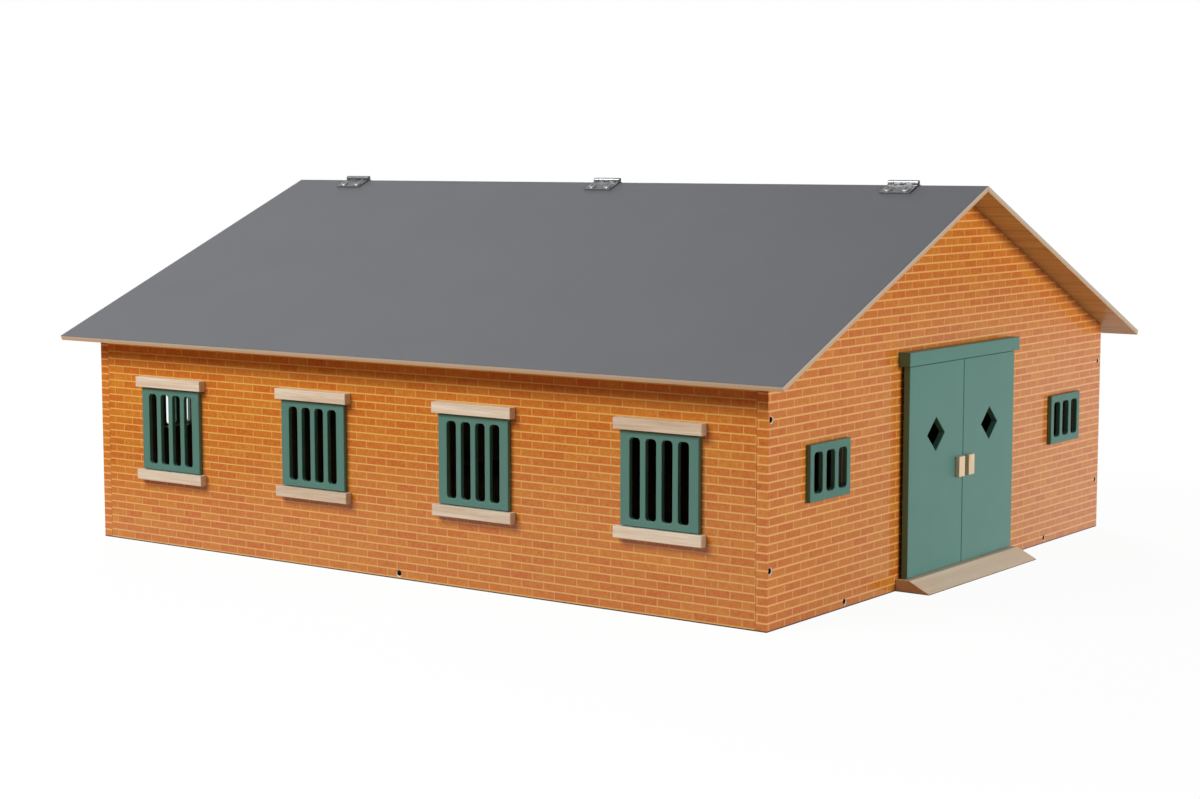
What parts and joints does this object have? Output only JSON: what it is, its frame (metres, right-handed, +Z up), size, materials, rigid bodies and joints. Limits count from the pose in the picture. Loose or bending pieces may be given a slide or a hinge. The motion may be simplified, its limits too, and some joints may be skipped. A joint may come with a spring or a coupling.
{
  "type": "toy stable",
  "caption": "Toy stable of printed wooden boards with barred windows, swinging double doors, a ramp and a roof half hinged at the ridge.",
  "frame": {"origin": "on the ground, under the middle of the floor board", "axes": "+X along the house towards the doors, -Y towards the wall with the tall windows, +Z up"},
  "size_m": [0.7283, 0.6, 0.3093],
  "materials": {
    "brick_board": "fibreboard with a brick print, satin",
    "bare_board": "bare fibreboard",
    "roof_board": "thin board, grey paint on top, bare edges and underside",
    "green_board": "fibreboard, grey-green satin paint",
    "pale_wood": "planed pale wood, bare",
    "ramp_wood": "sanded wood, bare",
    "hinge_steel": "nickel-plated pressed steel",
    "pin_steel": "drawn steel wire"
  },
  "bodies": {
    "house": {"floor_board": "bare_board", "front_wall": "brick_board", "rear_wall": "brick_board", "door_gable_wall": "brick_board", "far_gable_wall": "brick_board", "rear_roof_half": "roof_board", "far_hinge_rear_leaf": "hinge_steel", "far_hinge_pin": "pin_steel", "middle_hinge_rear_leaf": "hinge_steel", "middle_hinge_pin": "pin_steel", "near_hinge_rear_leaf": "hinge_steel", "near_hinge_pin": "pin_steel", "front_window_1_grille": "green_board", "front_window_1_lintel": "pale_wood", "front_window_1_sill": "pale_wood", "front_window_2_grille": "green_board", "front_window_2_lintel": "pale_wood", "front_window_2_sill": "pale_wood", "front_window_3_grille": "green_board", "front_window_3_lintel": "pale_wood", "front_window_3_sill": "pale_wood", "front_window_4_grille": "green_board", "front_window_4_lintel": "pale_wood", "front_window_4_sill": "pale_wood", "door_gable_front_grille": "green_board", "door_gable_rear_grille": "green_board", "far_gable_front_grille": "green_board", "far_gable_rear_grille": "green_board", "door_header": "green_board", "door_ramp": "ramp_wood"},
    "roof_lid": {"front_roof_half": "roof_board", "far_hinge_front_leaf": "hinge_steel", "middle_hinge_front_leaf": "hinge_steel", "near_hinge_front_leaf": "hinge_steel"},
    "left_door": {"left_door": "green_board", "left_handle": "pale_wood", "left_door_bottom_pin": "pin_steel", "left_door_top_pin": "pin_steel"},
    "right_door": {"right_door": "green_board", "right_handle": "pale_wood", "right_door_bottom_pin": "pin_steel", "right_door_top_pin": "pin_steel"}
  },
  "joints": [
    {"name": "roof_lift", "type": "hinge", "parent": "house", "child": "roof_lid", "pos_m": [0, 0, 0.30754], "axis": [-1, 0, 0], "range_deg": [0, 215]},
    {"name": "left_door_swing", "type": "hinge", "parent": "house", "child": "left_door", "pos_m": [0.34235, -0.0851, 0.0096], "axis": [0, 0, -1], "range_deg": [0, 178]},
    {"name": "right_door_swing", "type": "hinge", "parent": "house", "child": "right_door", "pos_m": [0.34235, 0.0851, 0.0096], "axis": [0, 0, 1], "range_deg": [0, 178]}
  ]
}
